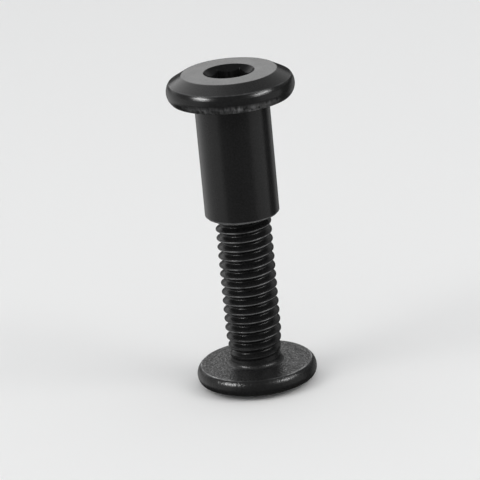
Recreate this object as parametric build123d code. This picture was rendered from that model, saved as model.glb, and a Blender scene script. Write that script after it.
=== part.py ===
from build123d import *
import math
import os

# Binding barrel and screw. The screw stands on its flat head, with its foot at z = 0,
# and the barrel nut is screwed a few turns on to its tip. +Z runs up the common axis.
# Lengths are in millimetres and angles in degrees.

# Thread: metric coarse, right-hand
thread_diameter = 6.0
thread_pitch = 1.0
thread_angle = 60.0
crest_allowance = 0.06  # the screw's crests lie this far inside the nominal radius
thread_turn_offset = 198.0  # where round the shank the grooves start

# Screw
screw_length = 20.0  # seat face to tip
screw_head_thickness = 2.2
screw_bevel_width = 1.35
screw_bevel_depth = 0.62
screw_crease_inset = 0.18  # the crease lies this far inside the full diameter
screw_seat_inset = 0.46  # and the seat's edge this far
neck_length = 1.2  # plain neck under the thread
neck_fillet = 0.5
runout_length = 2.4  # the thread fades out over this length
tip_chamfer = 0.75

# Barrel nut
barrel_diameter = 7.8
barrel_length = 12.7  # seat face to open end
barrel_end_chamfer = 0.15
barrel_neck_fillet = 0.2
bore_clearance = 0.0  # the bore's wall lies this far outside the thread's nominal radius
bore_mouth_chamfer = 0.3
nut_head_diameter = 13.34
screw_head_undersize = 0.64  # the screw's head is narrower than the nut's by this much
nut_head_thickness = 2.75
nut_bevel_width = 1.4
nut_bevel_depth = 0.8
nut_crease_inset = 0.31
nut_seat_inset = 0.43

# Hex sockets for a 4 mm key
key_across_flats = 4.0
socket_mouth_diameter = 5.32
screw_socket_depth = 1.9
nut_socket_depth = 4.0  # top face to the shoulder of the bore
drill_point_angle = 118.0

# Length of the screw's tip that is inside the barrel
engagement = 3.45

# The small rounded forms are turned as chains of conical bands
side_bands = 4
neck_bands = 2

# Thread form, from the height of its sharp triangle. The crests are flat and the grooves end in a sharp V.
sharp_height = thread_pitch / 2 / math.tan(math.radians(thread_angle / 2))
thread_depth = sharp_height * 7 / 8
crest_radius = thread_diameter / 2 - crest_allowance
root_radius = crest_radius - thread_depth
blank_radius = crest_radius - sharp_height * 3 / 8  # a rolled thread's blank is as wide as its pitch diameter
bore_radius = thread_diameter / 2 + bore_clearance

screw_head_diameter = nut_head_diameter - screw_head_undersize

# Heights
screw_tip_z = screw_head_thickness + screw_length
neck_top_z = screw_head_thickness + neck_length
runout_top_z = neck_top_z + runout_length
nut_length = nut_head_thickness + barrel_length
nut_top_z = screw_tip_z - engagement + nut_length

# The ends of the threaded rod and of the runout's cone are hidden this far inside the solid
hidden = neck_length / 2


def turned(*outline):
    """Turn a half-section of (radius, height) lines about Z."""
    return revolve(Plane.XZ * make_face(outline), Axis.Z)


def banded(arc, bands):
    """Chain of straight lines along an arc."""
    return Polyline(*(arc @ (band / bands) for band in range(bands + 1)))


def low_head(diameter, thickness, bevel_width, bevel_depth, crease_inset, seat_inset):
    """Low round head: flat face at z = 0, conical bevel, rounded side, and seat face on top."""
    rim = diameter / 2
    crease = (rim - crease_inset, bevel_depth)
    side = (rim, (bevel_depth + thickness) / 2)
    seat_edge = (rim - seat_inset, thickness)
    flat_edge = (crease[0] - bevel_width, 0)
    return turned(
        Polyline(seat_edge, (0, thickness), (0, 0), flat_edge, crease),
        banded(ThreePointArc(crease, side, seat_edge), side_bands),
    )


def filleted_post(radius, fillet_radius, seat_z, *top):
    """Round post that stands on a seat face, with a fillet round its foot, up to its top outline."""
    foot = radius + fillet_radius
    fillet_z = seat_z + fillet_radius
    sunk_z = seat_z / 2
    return turned(
        banded(CenterArc((foot, fillet_z), fillet_radius, 180, 90), neck_bands),
        Polyline((foot, seat_z), (foot, sunk_z), (0, sunk_z), *top, (radius, fillet_z)),
    )


def hex_socket(depth):
    """Cutter for a hex socket from z = 0 up: countersunk mouth, hexagon and drill point."""
    inscribed = key_across_flats / 2
    mouth = socket_mouth_diameter / 2
    point_height = inscribed / math.tan(math.radians(drill_point_angle / 2))
    hexagon = extrude(RegularPolygon(inscribed, 6, major_radius=False), depth)
    countersink = turned(Polyline((0, 0), (mouth, 0), (0, mouth), close=True))
    point = turned(Polyline((0, depth), (inscribed, depth), (0, depth + point_height), close=True))
    return hexagon + countersink + point


def helix(radius, start_z):
    """One turn of a helix on the thread's pitch."""
    return (Pos(0, 0, start_z) * Helix(thread_pitch, thread_pitch, radius)).edge()


def threaded_rod(low_z, turns):
    """Rod with a full thread, made of ruled strips between the helices at its crests and roots.

    It is closed at both ends by a helical ramp to the axis and the step at the ramp's start.
    """
    flank = thread_depth * math.tan(math.radians(thread_angle / 2))
    corners = [(root_radius, 0), (crest_radius, flank), (crest_radius, thread_pitch - flank)]
    starts = [low_z + turn * thread_pitch for turn in range(turns + 1)]
    helices = [helix(radius, start + rise) for start in starts for radius, rise in corners]
    helices = helices[: len(corners) * turns + 1]
    faces = [Face.make_surface_from_curves(lower, upper) for lower, upper in zip(helices, helices[1:])]
    for start, rim in ((starts[0], helices[0]), (starts[-1], helices[-1])):
        inner, outer = (0, 0, (rim @ 0).Z), (0, 0, (rim @ 1).Z)
        step = [(radius, 0, start + rise) for radius, rise in corners]
        faces.append(Face.make_surface_from_curves(Edge.make_line(inner, outer), rim))
        faces.append(Face(Wire.make_polygon([inner, *step, rim @ 1, outer], close=True)))
    return Solid(Shell(faces))


def threaded_shank():
    """Threaded length with a chamfered tip, whose crests taper to the blank's radius towards the head."""
    base_z = neck_top_z - hidden
    turns = math.ceil((screw_tip_z - base_z) / thread_pitch) + 2
    taper = (crest_radius - blank_radius) / runout_length
    clear = taper * hidden
    rod = threaded_rod(base_z - thread_pitch, turns)
    envelope = turned(
        Polyline(
            (0, base_z),
            (blank_radius - clear, base_z),
            (crest_radius + clear, runout_top_z + hidden),
            (crest_radius + clear, screw_tip_z - tip_chamfer - clear),
            (crest_radius - tip_chamfer, screw_tip_z),
            (0, screw_tip_z),
            close=True,
        )
    )
    return Rot(0, 0, thread_turn_offset) * rod & envelope


def screw():
    """Screw with a low bevelled head, a rolled thread that fades out at the neck, and a hex socket."""
    head = low_head(
        screw_head_diameter,
        screw_head_thickness,
        screw_bevel_width,
        screw_bevel_depth,
        screw_crease_inset,
        screw_seat_inset,
    )
    taper = (blank_radius - root_radius) / runout_length
    neck_with_runout_cone = filleted_post(
        blank_radius,
        neck_fillet,
        screw_head_thickness,
        (0, runout_top_z + hidden),
        (root_radius - taper * hidden, runout_top_z + hidden),
        (blank_radius, neck_top_z),
    )
    return head + neck_with_runout_cone + threaded_shank() - hex_socket(screw_socket_depth)


def bore():
    """Cutter for the barrel's bore, from its drilled shoulder to its chamfered mouth."""
    point_height = bore_radius / math.tan(math.radians(drill_point_angle / 2))
    return turned(
        Polyline(
            (0, nut_socket_depth - point_height),
            (bore_radius, nut_socket_depth),
            (bore_radius, nut_length - bore_mouth_chamfer),
            (bore_radius + 2 * bore_mouth_chamfer, nut_length + bore_mouth_chamfer),
            (0, nut_length + bore_mouth_chamfer),
            close=True,
        )
    )


def barrel_nut():
    """Flanged barrel with a hex socket that opens into its bore, made head down and turned over."""
    head = low_head(
        nut_head_diameter,
        nut_head_thickness,
        nut_bevel_width,
        nut_bevel_depth,
        nut_crease_inset,
        nut_seat_inset,
    )
    radius = barrel_diameter / 2
    barrel = filleted_post(
        radius,
        barrel_neck_fillet,
        nut_head_thickness,
        (0, nut_length),
        (radius - barrel_end_chamfer, nut_length),
        (radius, nut_length - barrel_end_chamfer),
    )
    nut = head + barrel - bore() - hex_socket(nut_socket_depth)
    return Pos(0, 0, nut_top_z) * Rot(180, 0, 0) * nut


os.makedirs("parts", exist_ok=True)
export_step(screw(), "parts/screw.step")
export_step(barrel_nut(), "parts/barrel_nut.step")
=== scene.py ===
import bpy
import math
import bmesh
from collections import namedtuple
from mathutils import Matrix, Vector


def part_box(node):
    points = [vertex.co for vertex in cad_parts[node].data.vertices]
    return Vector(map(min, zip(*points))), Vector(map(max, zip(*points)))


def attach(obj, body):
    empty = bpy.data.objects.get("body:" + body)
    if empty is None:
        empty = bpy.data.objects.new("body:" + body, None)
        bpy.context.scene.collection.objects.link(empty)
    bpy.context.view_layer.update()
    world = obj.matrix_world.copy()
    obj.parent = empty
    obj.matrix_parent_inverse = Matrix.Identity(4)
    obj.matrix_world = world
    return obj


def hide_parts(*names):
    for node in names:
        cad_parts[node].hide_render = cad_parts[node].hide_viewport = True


# Binding barrel and screw in black oxide steel, on a plain pale floor.
# Sizes are in millimetres, unless a name ends in _m, and are turned into metres when a mesh is made.
# Angles are in radians, but the azimuths and elevations of panels and lamps are in degrees. Azimuth 0 is
# the camera's side, and 90 is to its right.

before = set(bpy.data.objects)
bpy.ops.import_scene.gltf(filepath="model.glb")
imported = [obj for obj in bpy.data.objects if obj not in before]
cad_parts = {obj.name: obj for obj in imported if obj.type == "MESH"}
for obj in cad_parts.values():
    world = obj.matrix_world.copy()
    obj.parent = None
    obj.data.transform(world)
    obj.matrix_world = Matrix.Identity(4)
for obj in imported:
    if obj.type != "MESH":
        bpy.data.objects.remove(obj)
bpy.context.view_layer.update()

MM = 0.001


def extent(node):
    """Full width, foot height and top height of a CAD node."""
    low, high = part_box(node)
    return (high[0] - low[0]) / MM, low[2] / MM, high[2] / MM


nut_width, barrel_end_z, nut_top_z = extent("barrel_nut")
screw_width, foot_z, screw_tip_z = extent("screw")
stage_centre_m = Vector((0, 0, nut_top_z * MM / 2))

# Low heads: a flat face, a bevel down to a crease, a rounded side and a seat
Head = namedtuple("Head", "radius thickness bevel_width bevel_depth crease_inset seat_inset")
screw_head = Head(
    radius=screw_width / 2,
    thickness=2.2,
    bevel_width=1.35,
    bevel_depth=0.62,
    crease_inset=0.18,
    seat_inset=0.46,
)
nut_head = Head(
    radius=nut_width / 2,
    thickness=2.75,
    bevel_width=1.4,
    bevel_depth=0.8,
    crease_inset=0.31,
    seat_inset=0.43,
)

# Roundings of the turned edges
flat_edge_round = 0.3
crease_round = 0.2
seat_edge_round = 0.07
fine_round = 0.04  # at the sockets' mouths and the barrel's end

# Thread: metric coarse, right-hand. A groove passes groove_z on the -X side.
pitch = 1.0
groove_z = 1.75
groove_angle = math.pi
flank_rise = 1 / math.tan(math.radians(30))  # radius gained for each millimetre along the axis
root_radius = 2.33
root_half_width = 0.083
root_round = 0.16
crest_radius = 2.94
crest_round = 0.08

# Screw
seat_z = foot_z + screw_head.thickness
neck_radius = 2.615
neck_fillet = 0.5
neck_top_z = 2.75
runout_length = 2.9  # the crests rise over this length above the neck
root_runout = 1.3  # and the grooves deepen over this length
tip_chamfer = 0.75

# Barrel nut
barrel_radius = 3.9
barrel_fillet = 0.2
barrel_chamfer = 0.15
bore_radius = 3.0
ridge_radius = 2.46  # the tapped thread's ridges reach in to here
thread_clearance = 0.09
bore_chamfer = 0.3

# Hex sockets for a 4 mm key
key_flat_radius = 2.0
mouth_radius = 2.66
nut_socket_depth = 4.0
screw_socket_depth = 1.9
drill_point_slope = 1 / math.tan(math.radians(59))
countersink_lead = 0.2  # the corner before a mouth's edge lies this far down the countersink

# Mesh. The rows of a thread are shares of its pitch, from a groove up to a crest.
columns = 144
thread_rows = (0, 0.04, 0.083, 0.13, 0.22, 0.33, 0.4, 0.437, 0.47)
sharp_angle = math.radians(38)
weld_distance_m = 1e-7

# Finish, as four amounts from 0 to 1: wear is bare steel, coarse is rough and speckled with metal,
# scuffs are scratches, which under the nut's head also carry a painted sheen of pale light from below, and
# dull has lost its gloss
finish_names = ("wear", "coarse", "scuffs_and_sheen", "dull")
crest_wear = 0.55
neck_coarse = 0.7
thread_coarse = 0.45
side_coarse = 0.1
side_scuffs = 0.15
thread_dull = 0.4
socket_dull = 0.8
edge_spread = 0.045  # wear fades over this distance from a turned edge
crest_spread = 0.035  # and over this distance from the middle of a crest

# Turned edges that are rubbed, as (radius, z, wear)
screw_edges = [(screw_head.radius - screw_head.seat_inset, seat_z, 0.9)]
nut_edges = [
    (nut_head.radius - nut_head.crease_inset, nut_top_z - nut_head.bevel_depth, 0.2),
    (barrel_radius, barrel_end_z + barrel_chamfer, 0.4),
    (barrel_radius - barrel_chamfer, barrel_end_z, 0.9),
]

# Where the finish changes
front_angle = -math.pi / 2
side_depth = 0.5  # a head's rounded side lies within this distance of its full radius
shaded_front_spread = 0.42  # painted shade: the edge of the screw's seat is kept unworn and dark as far as this on both sides of the front
seat_radii = (neck_radius + 0.3, screw_head.radius - 0.43)  # radii between which that seat is coarse
side_heights = (0.7, 2.15)  # heights between which the side of the screw's head is coarse and scuffed
scuff_and_sheen_growth = 2.2  # scratches and painted sheen under the nut's head are full at 1 / this number of the way down to its seat
front_gain = 3.0  # and they fade out sideways as front_gain * cosine - front_cut, so the painted sheen stays on the side facing the camera
front_cut = 1.6
slack = 0.02  # for a point that lies on a face or an edge

# Black oxide, in grey levels of linear light
oxide_grey = 0.0095
grain_shares = (0.75, 1.35)  # the darkest and lightest grain, as shares of the oxide's grey
steel_grey = 0.41
fleck_grey = 0.06
painted_sheen_lift = 14  # painted sheen: its lightest streaks are this many times as light as the oxide
oxide_ior = 1.3

# Floor
floor_width_m = 6

# Light tent: rows of (azimuth, brightness) panels
tent_radius_m = 0.8
tent_top = 3.0
tent_zenith = 0.6
tent_under = 0.05
low_panels = [
    (-172, 0.12), (-160, 0.4), (-148, 0.78), (-125, 1.1), (-54, 1.1), (-42, 0.3), (0, 0.2), (42, 0.3),
    (54, 0.9), (94, 0.9), (101, 0.05), (124, 0.05), (130, 0.3), (148, 0.45), (160, 0.18), (172, 0.05),
    (180, 0.1),
]
middle_panels = [
    (-172, 0.03), (-150, 0.1), (-125, 1.1), (-54, 1.1), (-42, 0.3), (0, 0.2), (42, 0.3), (54, 0.9),
    (94, 0.9), (101, 0.05), (124, 0.05), (150, 0.05), (180, 0.03),
]
high_panels = [
    (-165, 1.9), (-130, 1.6), (-112, 0.4), (-80, 0.2), (0, 0.2), (80, 0.2), (112, 0.25), (136, 0.6),
    (164, 0.75), (176, 1.9),
]
# Heights from the tent's middle over which each row takes over from what is under it
low_row_m = (-0.4, -0.28)
middle_row_m = (-0.04, 0.04)
high_row_m = (0.145, 0.21)
zenith_m = (0.745, 0.785)


# ---- outlines -------------------------------------------------------------------------------

def softened(corners, steps=6):
    """Outline through (radius, z, rounding) corners, each rounded by an arc of its own radius."""
    outline = [Vector(corners[0][:2])]
    for before, corner, after in zip(corners, corners[1:], corners[2:]):
        point, rounding = Vector(corner[:2]), corner[2]
        if not rounding:
            outline.append(point)
            continue
        back = (Vector(before[:2]) - point).normalized()
        on = (Vector(after[:2]) - point).normalized()
        half = back.angle(on) / 2
        middle = point + (back + on).normalized() * rounding / math.sin(half)
        start = point + back * rounding / math.tan(half) - middle
        end = point + on * rounding / math.tan(half) - middle
        turn = start.angle(end)
        for step in range(steps + 1):
            share = step / steps
            spoke = start * math.sin((1 - share) * turn) + end * math.sin(share * turn)
            outline.append(middle + spoke / math.sin(turn))
    outline.append(Vector(corners[-1][:2]))
    return outline


def with_edge_loops(outline):
    """The outline with a point beside each end of its long stretches, which keeps wear at the edges."""
    loop_gap = 2 * edge_spread
    filled = [outline[0]]
    for start, end in zip(outline, outline[1:]):
        stretch = end - start
        if stretch.length > 2 * loop_gap:
            beside = stretch.normalized() * loop_gap
            filled += [start + beside, end - beside]
        filled.append(end)
    return filled


def arc_through(first, middle, last, steps=8):
    """Corners inside the arc through three (radius, z) points, without its two ends."""
    ax, ay = middle[0] - first[0], middle[1] - first[1]
    bx, by = last[0] - first[0], last[1] - first[1]
    cross = 2 * (ax * by - ay * bx)
    cx = first[0] + (by * (ax * ax + ay * ay) - ay * (bx * bx + by * by)) / cross
    cy = first[1] + (ax * (bx * bx + by * by) - bx * (ax * ax + ay * ay)) / cross
    radius = math.hypot(first[0] - cx, first[1] - cy)
    start = math.atan2(first[1] - cy, first[0] - cx)
    sweep = math.atan2(last[1] - cy, last[0] - cx) - start
    sweep = (sweep + math.pi) % (2 * math.pi) - math.pi
    turns = [start + sweep * step / steps for step in range(1, steps)]
    return [(cx + radius * math.cos(turn), cy + radius * math.sin(turn), 0) for turn in turns]


def low_head(head, face_z, inward, hub_radius, hub_fillet):
    """Corners of a low head, from just inside its socket to the root of what it is on.

    The first corner only sets how the socket's mouth is rounded. inward is +1 or -1, the way along z
    from the flat face into the head.
    """
    crease = (head.radius - head.crease_inset, face_z + inward * head.bevel_depth, crease_round)
    widest = (head.radius, face_z + inward * (head.bevel_depth + head.thickness) / 2)
    seat = (head.radius - head.seat_inset, face_z + inward * head.thickness, seat_edge_round)
    return [
        (mouth_radius - countersink_lead, face_z + inward * countersink_lead, 0),
        (mouth_radius, face_z, fine_round),
        (crease[0] - head.bevel_width, face_z, flat_edge_round),
        crease,
        *arc_through(crease, widest, seat),
        seat,
        (hub_radius, seat[1], hub_fillet),
    ]


# ---- rings of points ------------------------------------------------------------------------

def angles():
    return [2 * math.pi * column / columns for column in range(columns + 1)]


def turned_rings(outline):
    """One flat ring for each point of an outline, and for the loops beside its edges."""
    return [[(radius, angle, z) for angle in angles()] for radius, z in with_edge_loops(outline)]


def socket_rings(face_z, inward, depth):
    """Rings out of a hex socket, to just inside its mouth: hexagon, then countersink."""
    steps = 12
    depths = [(mouth_radius - key_flat_radius) * step / steps for step in range(1, steps + 1)] + [depth]
    rings = []
    for down in reversed(depths):
        ring = []
        for angle in angles():
            hexagon = key_flat_radius / math.cos(angle % (math.pi / 3) - math.pi / 6)
            ring.append((max(mouth_radius - down, hexagon), angle, face_z + inward * down))
        rings.append(ring)
    return rings


def to_groove(angle, z):
    """Distance along the axis from the nearest groove of the screw's thread."""
    turns = (z - groove_z) / pitch - (angle - groove_angle) / (2 * math.pi)
    return abs((turns + 0.5) % 1 - 0.5) * pitch


def soft_min(first, second, rounding):
    overlap = max(rounding - abs(first - second), 0) / rounding
    return min(first, second) - overlap * overlap * rounding / 4


def soft_max(first, second, rounding):
    return -soft_min(-first, -second, rounding)


def screw_thread(angle, z):
    """Radius of the shank, whose thread fades out at the neck and is chamfered at the tip."""
    flank = root_radius + flank_rise * (to_groove(angle, z) - root_half_width)
    groove = soft_max(flank, root_radius, root_round)
    above_neck = max(z - neck_top_z, 0)
    crest = neck_radius + (crest_radius - neck_radius) * min(above_neck / runout_length, 1)
    crest = min(crest, crest_radius - tip_chamfer + screw_tip_z - z)
    core = neck_radius + (root_radius - neck_radius) * min(above_neck / root_runout, 1)
    return max(soft_min(groove, crest, crest_round), min(core, crest))


def nut_thread(angle, z):
    """Radius of the tapped bore, whose ridges lie in the screw's grooves."""
    ridge = root_radius + thread_clearance + flank_rise * to_groove(angle, z)
    mouth = bore_radius - (z - barrel_end_z - bore_chamfer)
    return min(max(ridge, ridge_radius, mouth), bore_radius + bore_chamfer)


def thread_rings(radius_at, low_z, high_z):
    """Rings that climb one pitch each along the thread's helix, cut off flat at both ends."""
    first = math.floor((low_z - groove_z) / pitch) - 1
    last = math.ceil((high_z - groove_z) / pitch)
    rows = [*thread_rows, 0.5, *(1 - row for row in thread_rows[:0:-1])]
    rings = []
    for turn in range(first, last + 1):
        for row in rows:
            ring = []
            for angle in angles():
                along = groove_z + pitch * (turn + row + (angle - groove_angle) / (2 * math.pi))
                z = min(max(along, low_z), high_z)
                ring.append((radius_at(angle, z), angle, z))
            rings.append(ring)
    return rings


# ---- finish ---------------------------------------------------------------------------------

def clamped(value):
    return min(max(value, 0), 1)


def thread_wear(radius, angle, z):
    """How far the crests are rubbed bare."""
    from_crest = pitch / 2 - to_groove(angle, z)
    height = clamped((radius - neck_radius) / (crest_radius - neck_radius))
    return crest_wear * math.exp(-((from_crest / crest_spread) ** 2)) * height


def edge_wear(edges, radius, z):
    """How far the turned edges are rubbed bare."""
    return sum(
        wear * math.exp(-((radius - edge_radius) ** 2 + (z - edge_z) ** 2) / edge_spread**2)
        for edge_radius, edge_z, wear in edges
    )


def screw_finish(radius, angle, z):
    """Wear, coarseness, scuffs and dullness at a point of the screw."""
    on_seat = abs(z - seat_z) < slack and seat_radii[0] < radius < seat_radii[1]
    on_neck = seat_z < z <= neck_top_z and radius < neck_radius + neck_fillet
    on_side = side_heights[0] < z < side_heights[1] and radius > screw_head.radius - side_depth
    on_thread = z > neck_top_z
    # Painted shade: the seat's edge is left unworn and dark where it faces the camera
    shaded_front = math.exp(-(((angle - front_angle) / shaded_front_spread) ** 4))
    wear = edge_wear(screw_edges, radius, z) * (1 - shaded_front)
    if on_thread:
        wear += thread_wear(radius, angle, z)
    coarse = max(on_seat, neck_coarse * on_neck, thread_coarse * on_thread, side_coarse * on_side)
    return wear, coarse, side_scuffs * on_side, thread_dull * on_thread


def nut_finish(radius, angle, z):
    """Wear, coarseness, scratches with a painted sheen, and dullness at a point of the barrel nut."""
    widest_z = nut_top_z - (nut_head.bevel_depth + nut_head.thickness) / 2
    nut_seat_z = nut_top_z - nut_head.thickness
    on_side = radius > nut_head.radius - side_depth
    in_socket = z > nut_top_z - nut_socket_depth and radius < mouth_radius - slack
    # Painted sheen: scratches under the head are lightened as a painted reflection of pale light from
    # below, only on the side facing the camera
    under = clamped(scuff_and_sheen_growth * (widest_z - z) / (widest_z - nut_seat_z))
    near_front = clamped(front_gain * math.cos(angle - front_angle) - front_cut)
    return edge_wear(nut_edges, radius, z), 0, under * near_front * on_side, socket_dull * in_socket


# ---- pieces ---------------------------------------------------------------------------------

def ring_mesh(name, rings, finish_at):
    """Mesh object with a skin over a row of rings, and its finish as attributes for the material."""
    build = bmesh.new()
    rows = [
        [build.verts.new((r * math.cos(a) * MM, r * math.sin(a) * MM, z * MM)) for r, a, z in ring]
        for ring in rings
    ]
    for lower, upper in zip(rows, rows[1:]):
        for column in range(columns):
            build.faces.new((lower[column], lower[column + 1], upper[column + 1], upper[column]))
    bmesh.ops.remove_doubles(build, verts=build.verts, dist=weld_distance_m)
    bmesh.ops.recalc_face_normals(build, faces=build.faces)
    mesh = bpy.data.meshes.new(name)
    build.to_mesh(mesh)
    build.free()
    finishes = [mesh.attributes.new(finish, "FLOAT", "POINT").data for finish in finish_names]
    for number, vertex in enumerate(mesh.vertices):
        x, y, z = vertex.co / MM
        for finish, value in zip(finishes, finish_at(math.hypot(x, y), math.atan2(y, x), z)):
            finish[number].value = min(value, 1)
    mesh.shade_smooth()
    mesh.set_sharp_from_angle(angle=sharp_angle)
    piece = bpy.data.objects.new(name, mesh)
    bpy.context.scene.collection.objects.link(piece)
    weighted = piece.modifiers.new("flat faces stay flat", "WEIGHTED_NORMAL")
    weighted.keep_sharp = True
    return piece


def make_screw():
    """Screw, from its socket's drill point out round the head and up the shank to the tip."""
    socket_floor_z = foot_z + screw_socket_depth
    point_z = socket_floor_z + key_flat_radius * drill_point_slope
    drill_point = [Vector((0, point_z)), Vector((key_flat_radius, socket_floor_z))]
    head = softened(
        low_head(screw_head, foot_z, 1, neck_radius, neck_fillet) + [(neck_radius, neck_top_z, 0)]
    )
    rings = (
        turned_rings(drill_point)
        + socket_rings(foot_z, 1, screw_socket_depth)
        + turned_rings(head[1:])
        + thread_rings(screw_thread, neck_top_z, screw_tip_z)
        + turned_rings([Vector((0, screw_tip_z))])
    )
    return ring_mesh("screw_visual", rings, screw_finish)


def make_barrel_nut():
    """Barrel nut, from its socket's mouth down the outside, up the bore and back to the mouth."""
    outside = softened(
        low_head(nut_head, nut_top_z, -1, barrel_radius, barrel_fillet)
        + [
            (barrel_radius, barrel_end_z + barrel_chamfer, fine_round),
            (barrel_radius - barrel_chamfer, barrel_end_z, fine_round),
            (bore_radius + bore_chamfer, barrel_end_z, 0),
        ]
    )
    bore_top_z = nut_top_z - nut_socket_depth - (bore_radius - key_flat_radius) * drill_point_slope
    rings = (
        turned_rings(outside[1:])
        + thread_rings(nut_thread, barrel_end_z, bore_top_z)
        + socket_rings(nut_top_z, -1, nut_socket_depth)
        + turned_rings(outside[1:2])
    )
    return ring_mesh("barrel_nut_visual", rings, nut_finish)


# ---- nodes ----------------------------------------------------------------------------------

def principled(name):
    """A new material, its node tree and its shader."""
    material = bpy.data.materials.new(name)
    material.use_nodes = True
    return material, material.node_tree, material.node_tree.nodes["Principled BSDF"]


def grey(level):
    return (level, level, level, 1)


def node(tree, kind, **inputs):
    """A new node with its inputs set by name, with _ for a space."""
    made = tree.nodes.new(kind)
    for name, value in inputs.items():
        made.inputs[name.replace("_", " ")].default_value = value
    return made


def attribute(tree, name):
    source = tree.nodes.new("ShaderNodeAttribute")
    source.attribute_name = name
    return source.outputs["Fac"]


def blend(tree, first, second, share):
    """Mix of two colours, each an output or a grey level, by a share."""
    mix = tree.nodes.new("ShaderNodeMix")
    mix.data_type = "RGBA"
    tree.links.new(share, mix.inputs["Factor"])
    for source, name in ((first, "A"), (second, "B")):
        if hasattr(source, "is_output"):
            tree.links.new(source, mix.inputs[name])
        else:
            mix.inputs[name].default_value = grey(source)
    return mix.outputs["Result"]


def ranged(tree, source, low, high, to_low=0.0, to_high=1.0):
    """A value mapped from one range to another, and kept inside it."""
    mapped = node(tree, "ShaderNodeMapRange", From_Min=low, From_Max=high, To_Min=to_low, To_Max=to_high)
    tree.links.new(source, mapped.inputs["Value"])
    return mapped.outputs["Result"]


def combined(tree, operation, first, second):
    made = tree.nodes.new("ShaderNodeMath")
    made.operation = operation
    tree.links.new(first, made.inputs[0])
    tree.links.new(second, made.inputs[1])
    return made.outputs["Value"]


def added(tree, first, second):
    return combined(tree, "ADD", first, second)


def times(tree, first, second):
    return combined(tree, "MULTIPLY", first, second)


def stretched(tree, source, scale):
    """A vector multiplied axis by axis."""
    product = tree.nodes.new("ShaderNodeVectorMath")
    product.operation = "MULTIPLY"
    product.inputs[1].default_value = scale
    tree.links.new(source, product.inputs[0])
    return product.outputs["Vector"]


def bumped(tree, height, strength, distance_m, normal=None):
    bump = node(tree, "ShaderNodeBump", Distance=distance_m)
    tree.links.new(height, bump.inputs["Height"])
    tree.links.new(strength, bump.inputs["Strength"])
    if normal:
        tree.links.new(normal, bump.inputs["Normal"])
    return bump.outputs["Normal"]


def noise(tree, place, per_metre, detail):
    texture = node(tree, "ShaderNodeTexNoise", Scale=per_metre, Detail=detail, Roughness=0.65)
    tree.links.new(place, texture.inputs["Vector"])
    return texture.outputs["Fac"]


def turning_marks(tree, place):
    """Noise that runs in circles about the axis."""
    spoke = tree.nodes.new("ShaderNodeVectorMath")
    spoke.operation = "LENGTH"
    tree.links.new(stretched(tree, place, (1, 1, 0)), spoke.inputs[0])
    marks = node(tree, "ShaderNodeTexNoise", Scale=4500.0, Detail=2.0)
    marks.noise_dimensions = "1D"
    tree.links.new(spoke.outputs["Value"], marks.inputs["W"])
    return marks.outputs["Fac"]


# ---- materials ------------------------------------------------------------------------------

Patterns = namedtuple("Patterns", "grain blotches speckle scratches")


def oxide_patterns(tree):
    """Fine grain, wide blotches, speckle with faint turning marks, and scratches along the axis."""
    place = tree.nodes.new("ShaderNodeTexCoord").outputs["Object"]
    pits = noise(tree, place, per_metre=6500.0, detail=2.0)
    faint_marks = ranged(tree, turning_marks(tree, place), 0, 1, 0.05, 0.22)
    drawn_out = stretched(tree, place, (1, 1, 0.05))
    return Patterns(
        grain=noise(tree, place, per_metre=5200.0, detail=4.0),
        blotches=noise(tree, place, per_metre=600.0, detail=2.0),
        speckle=added(tree, pits, faint_marks),
        scratches=noise(tree, drawn_out, per_metre=3800.0, detail=2.0),
    )


def oxide_colour(tree, patterns, scuffs_and_sheen, rubbed, flecks):
    """Nearly black and faintly mottled, with grey streaks of painted sheen where scuffed, rubbed steel and
    dark metal flecks.
    """
    grain = ranged(tree, patterns.grain, 0.35, 0.7)
    plain = blend(tree, oxide_grey * grain_shares[0], oxide_grey * grain_shares[1], grain)
    # Painted sheen: streaks lighter than the oxide stand in for pale light reflected from below the nut's
    # head
    scratched = ranged(tree, patterns.scratches, 0.3, 0.7)
    scuffed_and_sheened = blend(tree, oxide_grey, oxide_grey * painted_sheen_lift, scratched)
    patchy = ranged(tree, patterns.blotches, 0.38, 0.58, 0.25)
    sheen_here = times(tree, ranged(tree, scuffs_and_sheen, side_scuffs, 1), patchy)
    colour = blend(tree, plain, scuffed_and_sheened, sheen_here)
    colour = blend(tree, colour, steel_grey, rubbed)
    return blend(tree, colour, fleck_grey, flecks)


def oxide_roughness(tree, patterns, coarse, scuffs_and_sheen):
    """Satin with blotches, a little rougher where scuffed, and rough between the flecks where coarse."""
    satin = ranged(tree, patterns.blotches, 0, 1, 0.17, 0.27)
    scuffed_and_sheened = added(tree, satin, ranged(tree, scuffs_and_sheen, 0, side_scuffs, 0.0, 0.05))
    between_flecks = ranged(tree, patterns.speckle, 0.57, 0.73, 0.35, 0.03)
    return added(tree, times(tree, coarse, between_flecks), scuffed_and_sheened)


def oxide_normal(tree, patterns, coarse, scuffs_and_sheen):
    """Grain everywhere, speckle where coarse and scratches where scuffed."""
    grain_strength = ranged(tree, coarse, 0, 1, 0.07, 0.1)
    scratch_strength = ranged(tree, scuffs_and_sheen, 0, side_scuffs, 0.0, 0.6)
    normal = bumped(tree, patterns.grain, grain_strength, distance_m=0.00008)
    normal = bumped(tree, patterns.speckle, coarse, distance_m=0.00003, normal=normal)
    return bumped(tree, patterns.scratches, scratch_strength, distance_m=0.00006, normal=normal)


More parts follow.
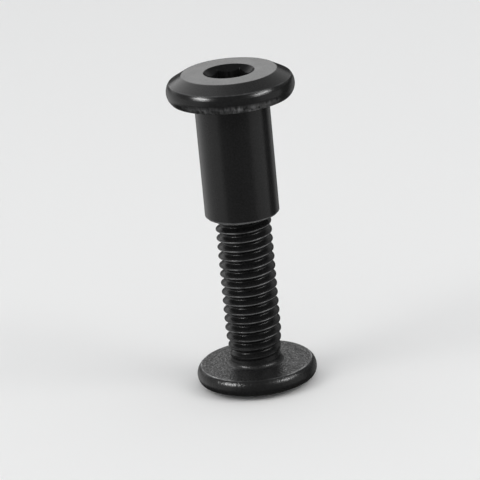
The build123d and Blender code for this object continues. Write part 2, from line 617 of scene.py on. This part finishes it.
def black_oxide(name):
    """Blackened steel, bare where it is worn and speckled where it was left coarse."""
    material, tree, shader = principled(name)
    patterns = oxide_patterns(tree)
    wear, coarse, scuffs_and_sheen, dull = [attribute(tree, finish) for finish in finish_names]
    rubbed = times(tree, wear, ranged(tree, patterns.blotches, 0.38, 0.6, 0.25))
    speckled = ranged(tree, patterns.speckle, 0.67, 0.79)
    flecks = times(tree, ranged(tree, coarse, neck_coarse, 1), speckled)
    looks = {
        "Base Color": oxide_colour(tree, patterns, scuffs_and_sheen, rubbed, flecks),
        "Metallic": combined(tree, "MAXIMUM", rubbed, flecks),
        "Roughness": oxide_roughness(tree, patterns, coarse, scuffs_and_sheen),
        "Normal": oxide_normal(tree, patterns, coarse, scuffs_and_sheen),
        "Specular IOR Level": ranged(tree, dull, 0, 1, 0.5, 0.1),
    }
    for socket, look in looks.items():
        tree.links.new(look, shader.inputs[socket])
    shader.inputs["IOR"].default_value = oxide_ior
    return material


def floor_paint():
    """Pale matt floor with a very faint mottle."""
    material, tree, shader = principled("pale_floor")
    mottle = node(tree, "ShaderNodeTexNoise", Scale=6.0, Detail=3.0)
    colour = tree.nodes.new("ShaderNodeValToRGB")
    colour.color_ramp.elements[0].color = (0.87, 0.86, 0.84, 1)
    colour.color_ramp.elements[1].color = (0.91, 0.9, 0.88, 1)
    tree.links.new(mottle.outputs["Fac"], colour.inputs["Fac"])
    tree.links.new(colour.outputs["Color"], shader.inputs["Base Color"])
    shader.inputs["Roughness"].default_value = 0.9
    shader.inputs["Specular IOR Level"].default_value = 0.1
    return material


def panel_row(tree, around, panels):
    """Colour of a row of panels round the tent, as shares of its top brightness.

    around is a radial gradient, which is 0.25 at azimuth 0.
    """
    stops = sorted(((0.25 + azimuth / 360) % 1, brightness / tent_top) for azimuth, brightness in panels)
    ramp = tree.nodes.new("ShaderNodeValToRGB")
    elements = ramp.color_ramp.elements
    for element, (position, share) in zip(elements, (stops[0], stops[-1])):
        element.position = position
        element.color = grey(share)
    for position, share in stops[1:-1]:
        elements.new(position).color = grey(share)
    tree.links.new(around, ramp.inputs["Fac"])
    return ramp.outputs["Color"]


def above(tree, height, heights_m):
    """Share that rises smoothly from 0 to 1 between two heights."""
    share = node(tree, "ShaderNodeMapRange", From_Min=heights_m[0], From_Max=heights_m[1])
    share.interpolation_type = "SMOOTHSTEP"
    tree.links.new(height, share.inputs["Value"])
    return share.outputs["Result"]


def tent_cloth():
    """Glowing cloth with softer and darker panels side by side."""
    material = bpy.data.materials.new("tent_cloth")
    material.use_nodes = True
    tree = material.node_tree
    tree.nodes.clear()
    place = tree.nodes.new("ShaderNodeTexCoord").outputs["Object"]
    gradient = tree.nodes.new("ShaderNodeTexGradient")
    gradient.gradient_type = "RADIAL"
    tree.links.new(place, gradient.inputs["Vector"])
    split = tree.nodes.new("ShaderNodeSeparateXYZ")
    tree.links.new(place, split.inputs["Vector"])
    around, height = gradient.outputs["Fac"], split.outputs["Z"]

    low, middle, high = [panel_row(tree, around, row) for row in (low_panels, middle_panels, high_panels)]
    colour = blend(tree, low, middle, above(tree, height, middle_row_m))
    colour = blend(tree, colour, high, above(tree, height, high_row_m))
    colour = blend(tree, colour, tent_zenith / tent_top, above(tree, height, zenith_m))
    colour = blend(tree, tent_under / tent_top, colour, above(tree, height, low_row_m))
    glow = node(tree, "ShaderNodeEmission", Strength=tent_top)
    tree.links.new(colour, glow.inputs["Color"])
    output = tree.nodes.new("ShaderNodeOutputMaterial")
    tree.links.new(glow.outputs["Emission"], output.inputs["Surface"])
    return material


# ---- stage ----------------------------------------------------------------------------------

def make_floor():
    bpy.ops.mesh.primitive_plane_add(size=floor_width_m, location=(0, 0, 0))
    floor = bpy.context.object
    floor.name = "floor"
    floor.data.materials.append(floor_paint())
    floor.visible_glossy = False


def softbox(name, azimuth, elevation, distance_m, size_m, radiance):
    """Area light that faces the object."""
    width_m, height_m = size_m
    light = bpy.data.lights.new(name, "AREA")
    light.shape = "RECTANGLE"
    light.size = width_m
    light.size_y = height_m
    light.energy = radiance * math.pi * width_m * height_m
    lamp = bpy.data.objects.new(name, light)
    side, up = math.radians(azimuth), math.radians(elevation)
    flat_m = distance_m * math.cos(up)
    away = Vector((flat_m * math.sin(side), -flat_m * math.cos(side), distance_m * math.sin(up)))
    lamp.location = stage_centre_m + away
    lamp.rotation_euler = (lamp.location - stage_centre_m).to_track_quat("Z", "Y").to_euler()
    bpy.context.scene.collection.objects.link(lamp)
    return lamp


def make_lights():
    """Two keys that gloss doesn't show, two gleams that only gloss shows, and an even sky."""
    keys = [
        softbox("left_key", azimuth=-66, elevation=42, distance_m=0.6, size_m=(0.3, 0.3), radiance=2.6),
        softbox("right_key", azimuth=62, elevation=38, distance_m=0.6, size_m=(0.3, 0.3), radiance=2.6),
    ]
    gleams = [
        softbox("left_gleam", azimuth=-61, elevation=32, distance_m=0.55, size_m=(0.22, 0.12), radiance=54),
        softbox("right_gleam", azimuth=62, elevation=33, distance_m=0.55, size_m=(0.26, 0.12), radiance=33),
    ]
    for key in keys:
        key.visible_glossy = False
    for gleam in gleams:
        gleam.visible_diffuse = False
    world = bpy.data.worlds.new("studio")
    world.use_nodes = True
    sky = world.node_tree.nodes["Background"]
    sky.inputs["Color"].default_value = (0.95, 0.97, 1, 1)
    sky.inputs["Strength"].default_value = 0.72
    bpy.context.scene.world = world


def make_tent():
    """Light tent round the object, which only its gloss shows."""
    bpy.ops.mesh.primitive_uv_sphere_add(
        radius=tent_radius_m, segments=64, ring_count=32, location=stage_centre_m
    )
    tent = bpy.context.object
    tent.name = "tent"
    tent.data.materials.append(tent_cloth())
    tent.visible_camera = False
    tent.visible_diffuse = False
    tent.visible_shadow = False
    tent.visible_transmission = False


def make_camera():
    """Long lens from a little above, rolled so that the object's top leans to the left."""
    elevation = math.radians(19.09)
    roll = math.radians(5.5)
    distance_m = 0.3284
    aim_m = Vector((-0.512, 0, 15.794)) * MM
    camera = bpy.data.objects.new("camera", bpy.data.cameras.new("camera"))
    camera.data.lens = 235.5
    camera.data.clip_start = 0.01
    away = Vector((0, -math.cos(elevation), math.sin(elevation)))
    turn = away.to_track_quat("Z", "Y").to_matrix() @ Matrix.Rotation(-roll, 3, "Z")
    camera.matrix_world = Matrix.Translation(aim_m + away * distance_m) @ turn.to_4x4()
    bpy.context.scene.collection.objects.link(camera)
    bpy.context.scene.camera = camera


# ---- the scene ------------------------------------------------------------------------------

screw = make_screw()
screw.data.materials.append(black_oxide("screw_black_oxide"))
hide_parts("screw")
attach(screw, "screw")

nut = make_barrel_nut()
nut.data.materials.append(black_oxide("nut_black_oxide"))
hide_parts("barrel_nut")
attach(nut, "barrel_nut")

make_floor()
make_lights()
make_tent()
make_camera()
bpy.context.scene.view_settings.view_transform = "Standard"
